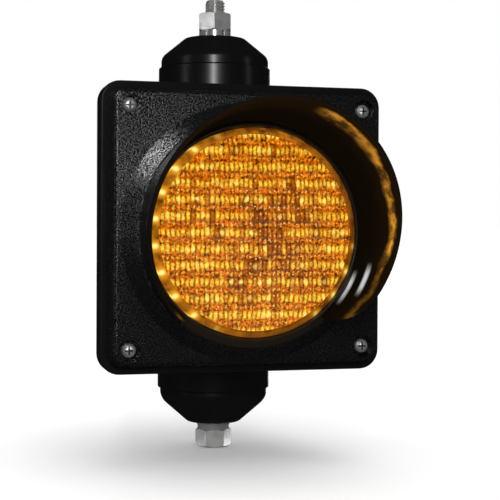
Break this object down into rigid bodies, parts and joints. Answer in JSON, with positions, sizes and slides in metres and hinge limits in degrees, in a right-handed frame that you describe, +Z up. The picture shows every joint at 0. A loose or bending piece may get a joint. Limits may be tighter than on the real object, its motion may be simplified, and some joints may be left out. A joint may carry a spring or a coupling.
{
  "type": "traffic signal head",
  "caption": "Square black LED signal head with an amber lens and a short flared visor, held by an M12 rod through domed caps at top and bottom.",
  "frame": {"origin": "on the M12 rod's axis at the top face of the top nut, where the rod's free end starts", "axes": "+Z up along the rod, the lens and visor face -Y, +X to the right seen from the front"},
  "size_m": [0.16, 0.2171, 0.2718],
  "materials": {
    "housing_plastic": "smooth moulded black polycarbonate, slight gloss",
    "door_plastic": "black polycarbonate with a fine spark-eroded grain",
    "visor_plastic": "glossy black polycarbonate",
    "cap_plastic": "glossy black moulded plastic",
    "lens_amber": "clear amber polycarbonate with moulded prisms",
    "clear_plastic": "clear acrylic",
    "module_plastic": "dark grey moulded polycarbonate",
    "seal_rubber": "matt EPDM",
    "zinc_steel": "bright zinc plated",
    "stainless": "stainless steel, satin",
    "insert_brass": "knurled brass",
    "board_laminate": "solder-masked glass laminate",
    "led_epoxy": "clear epoxy",
    "ferrite": "wound transformer with a plastic former",
    "capacitor_can": "sleeved aluminium cans",
    "terminal_plastic": "light grey polyamide",
    "gland_plastic": "black polyamide"
  },
  "bodies": {
    "mounting": {"tie_rod": "zinc_steel", "top_nut": "zinc_steel", "top_spring_washer": "zinc_steel", "top_flat_washer": "zinc_steel", "top_cap": "cap_plastic", "top_cap_seal": "seal_rubber", "bottom_cap": "cap_plastic", "bottom_cap_seal": "seal_rubber", "bottom_flat_washer": "zinc_steel", "bottom_spring_washer": "zinc_steel", "bottom_nut": "zinc_steel"},
    "head": {"rear_housing": "housing_plastic", "housing_flange": "housing_plastic", "top_collar": "housing_plastic", "bottom_collar": "housing_plastic", "door_gasket": "seal_rubber", "housing_inserts": "insert_brass", "front_door": "door_plastic", "door_screws": "stainless", "visor": "visor_plastic", "lens_gasket": "seal_rubber", "lens": "lens_amber", "inner_lens": "clear_plastic", "module_shell": "module_plastic", "module_clips": "stainless", "clip_screws": "stainless", "led_board": "board_laminate", "leds": "led_epoxy", "driver_board": "board_laminate", "driver_transformer": "ferrite", "driver_capacitors": "capacitor_can", "terminal_block": "terminal_plastic", "terminal_screws": "zinc_steel", "gland_body": "gland_plastic", "gland_seal": "seal_rubber", "gland_cap": "gland_plastic", "gland_locknut": "gland_plastic"}
  },
  "joints": [
    {"name": "head_swivel", "type": "hinge", "parent": "mounting", "child": "head", "pos_m": [0, 0, 0], "axis": [0, 0, 1], "range_deg": [-90, 90]}
  ]
}
